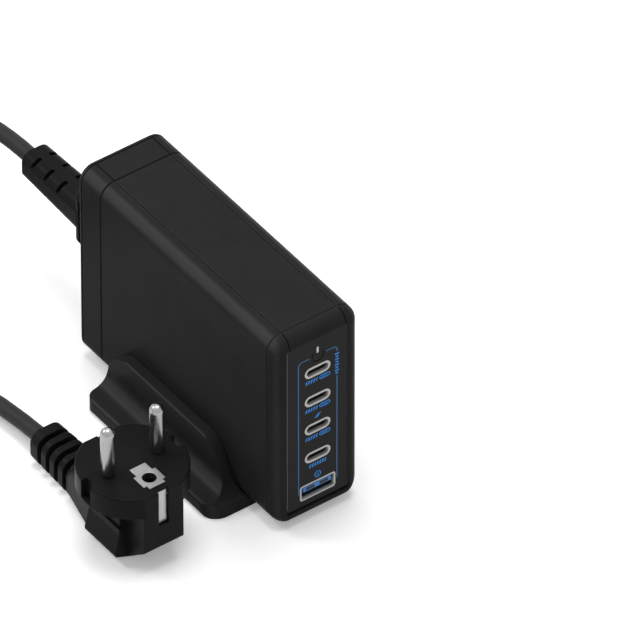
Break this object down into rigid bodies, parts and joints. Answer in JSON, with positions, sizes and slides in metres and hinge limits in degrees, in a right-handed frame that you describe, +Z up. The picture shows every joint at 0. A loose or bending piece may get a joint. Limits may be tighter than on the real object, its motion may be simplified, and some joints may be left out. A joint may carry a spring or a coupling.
{
  "type": "multi-port usb charger",
  "caption": "Upright black desk charger in a low cradle, with a column of USB ports on its narrow front and a coiled mains lead with a round earthed plug.",
  "frame": {"origin": "on the floor under the middle of the charger's body", "axes": "+Z up, the ports face -Y, the lead leaves the rear towards +Y"},
  "size_m": [0.1332, 0.2292, 0.079],
  "materials": {
    "black_case": "fine spark-eroded matt",
    "port_panel": "fine matt with pale blue print",
    "stand_plastic": "fine matt",
    "port_metal": "satin plated sheet",
    "dark_insert": "plain moulded",
    "blue_insert": "plain moulded",
    "clear_light": "clear moulded",
    "led": "clear moulded",
    "inner_plastic": "plain moulded",
    "circuit_board": "lacquered glass-fibre board",
    "ferrite": "sintered",
    "winding": "enamelled copper",
    "soft_pad": "soft filled rubber",
    "capacitor_can": "sleeved can",
    "boxed_part": "moulded case",
    "fuse_body": "ceramic tube",
    "spreader_sheet": "plain sheet",
    "contact_brass": "plated",
    "copper_wire": "insulated copper",
    "black_vinyl": "soft satin moulding",
    "lead_jacket": "satin jacket",
    "tie_strap": "plain strap",
    "plated_pin": "polished nickel plate",
    "earth_strip": "bright plated strip"
  },
  "bodies": {
    "root": {"left_side_cover": "black_case", "right_side_cover": "black_case", "top_band": "black_case", "bottom_band": "black_case", "front_bezel": "black_case", "rear_cap": "black_case", "front_panel": "port_panel", "stand": "stand_plastic", "usb_c_shell_1": "port_metal", "usb_c_shell_2": "port_metal", "usb_c_shell_3": "port_metal", "usb_c_shell_4": "port_metal", "usb_a_shell": "port_metal", "usb_c_insert_1": "dark_insert", "usb_c_insert_2": "dark_insert", "usb_c_insert_3": "dark_insert", "usb_c_insert_4": "dark_insert", "usb_a_insert": "blue_insert", "indicator_light_pipe": "clear_light", "indicator_led": "led", "inner_sleeve": "inner_plastic", "inlet_housing": "inner_plastic", "port_board": "circuit_board", "main_board": "circuit_board", "transformer_core": "ferrite", "boost_inductor": "ferrite", "filter_choke": "ferrite", "step_down_inductor_1": "ferrite", "step_down_inductor_2": "ferrite", "step_down_inductor_3": "ferrite", "step_down_inductor_4": "ferrite", "transformer_winding": "winding", "thermal_pad": "soft_pad", "bulk_capacitor_1": "capacitor_can", "bulk_capacitor_2": "capacitor_can", "bulk_capacitor_3": "capacitor_can", "output_capacitors": "capacitor_can", "filter_capacitor": "boxed_part", "bridge_rectifier": "boxed_part", "power_switches": "boxed_part", "fuse": "fuse_body", "heat_spreader": "spreader_sheet", "inlet_pins": "contact_brass", "connector_contacts": "contact_brass", "inlet_wires": "copper_wire", "connector_overmould": "black_vinyl", "plug_body": "black_vinyl", "lead_coil": "lead_jacket", "lead_at_charger": "lead_jacket", "lead_at_plug": "lead_jacket", "coil_tie": "tie_strap", "plug_pin_1": "plated_pin", "plug_pin_2": "plated_pin", "plug_earth_clip": "earth_strip"}
  },
  "joints": []
}
